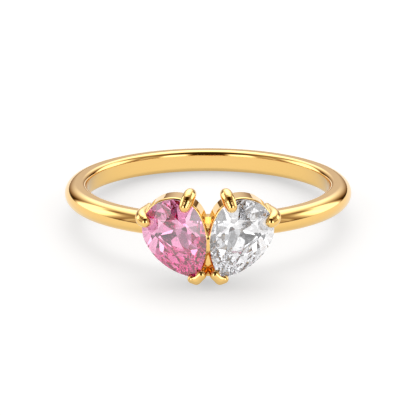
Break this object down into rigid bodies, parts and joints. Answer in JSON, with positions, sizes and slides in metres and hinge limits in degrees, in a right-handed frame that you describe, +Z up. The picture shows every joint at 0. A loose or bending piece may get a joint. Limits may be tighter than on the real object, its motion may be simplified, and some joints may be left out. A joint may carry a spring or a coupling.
{
  "type": "toi et moi ring",
  "caption": "Yellow gold toi et moi ring with a pink and a colourless pear stone set side by side, tips down.",
  "frame": {"origin": "on the surface that the ring rests on, under the middle of its box", "axes": "+Z up, the stones face -Y, +X to the right as the stones are seen; the ring lies on its side and leans back, so the finger hole's axis is tilted from +Z towards +Y"},
  "size_m": [0.02, 0.023, 0.0065],
  "materials": {
    "gold": "polished yellow gold",
    "pink_stone": "faceted pink gemstone",
    "white_stone": "faceted colourless gemstone"
  },
  "bodies": {
    "root": {"gold_mount": "gold", "pink_stone": "pink_stone", "white_stone": "white_stone"}
  },
  "joints": []
}
